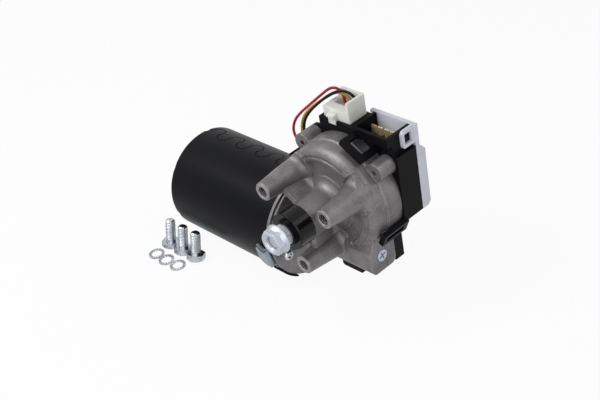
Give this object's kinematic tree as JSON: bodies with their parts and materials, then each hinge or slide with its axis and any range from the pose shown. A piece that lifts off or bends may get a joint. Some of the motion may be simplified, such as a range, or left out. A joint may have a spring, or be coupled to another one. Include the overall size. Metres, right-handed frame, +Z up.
{
  "type": "wiper motor",
  "caption": "Windscreen wiper gear motor: round brushed motor, worm and wheel in a cast housing with three mounting pillars, fluted output shaft, black cover with socket and plug.",
  "frame": {"origin": "centre of the circle of the three pillar holes, in the plane of the pillar tips, on the output shaft's axis", "axes": "+X along the motor from the closed end of the can to the worm's end, -Y out of the output shaft, +Z up towards the plugs"},
  "size_m": [0.158, 0.0897, 0.1114],
  "materials": {
    "cast_alloy": "satin",
    "black_paint": "satin",
    "steel": "satin",
    "zinc_steel": "satin",
    "sintered_bronze": "matte",
    "ferrite": "matte",
    "core_steel": "satin",
    "copper": "gloss",
    "brown_board": "matte",
    "carbon": "matte",
    "black_rubber": "matte",
    "gloss_black": "gloss",
    "gear_plastic": "satin",
    "brass_strip": "satin",
    "black_plastic": "satin",
    "clear_plastic": "satin",
    "white_plastic": "satin",
    "red_lead": "satin",
    "yellow_lead": "satin",
    "black_lead": "satin"
  },
  "bodies": {
    "body": {"gear_housing": "cast_alloy", "motor_can": "black_paint", "can_end_plate": "steel", "magnet_springs": "steel", "thrust_pad": "steel", "brush_springs": "steel", "shaft_washer": "steel", "thrust_screw": "zinc_steel", "flange_screws": "zinc_steel", "flange_washers": "zinc_steel", "can_clip": "zinc_steel", "cover_screws": "zinc_steel", "mounting_bolts": "zinc_steel", "lock_washers": "zinc_steel", "can_bush": "sintered_bronze", "motor_bearing": "sintered_bronze", "worm_bush": "sintered_bronze", "front_bush": "sintered_bronze", "rear_bush": "sintered_bronze", "magnets": "ferrite", "brush_plate": "brown_board", "brushes": "carbon", "lead_grommet": "black_rubber", "shaft_seal": "black_rubber", "cover_gasket": "black_rubber", "shaft_cap": "gloss_black", "park_contacts": "brass_strip", "terminals": "brass_strip", "plug_pins": "brass_strip", "gear_cover": "black_plastic", "rear_cover": "clear_plastic", "motor_plug": "white_plastic", "lead_red": "red_lead", "lead_yellow": "yellow_lead", "lead_black": "black_lead"},
    "rotor": {"armature_shaft": "steel", "armature_core": "core_steel", "armature_winding": "copper", "commutator": "copper"},
    "output": {"output_shaft": "steel", "retaining_clip": "steel", "crank_nut": "zinc_steel", "worm_gear": "gear_plastic", "park_disc": "brass_strip"}
  },
  "joints": [
    {"name": "rotor_spin", "type": "hinge", "parent": "body", "child": "rotor", "pos_m": [0, 0.032, -0.028], "axis": [1, 0, 0], "continuous": true},
    {"name": "output_turn", "type": "hinge", "parent": "body", "child": "output", "pos_m": [0, 0.032, 0], "axis": [0, 1, 0], "continuous": true}
  ],
  "couplings": [
    {"joint": "output_turn", "follows": "rotor_spin", "ratio": 0.020833}
  ]
}
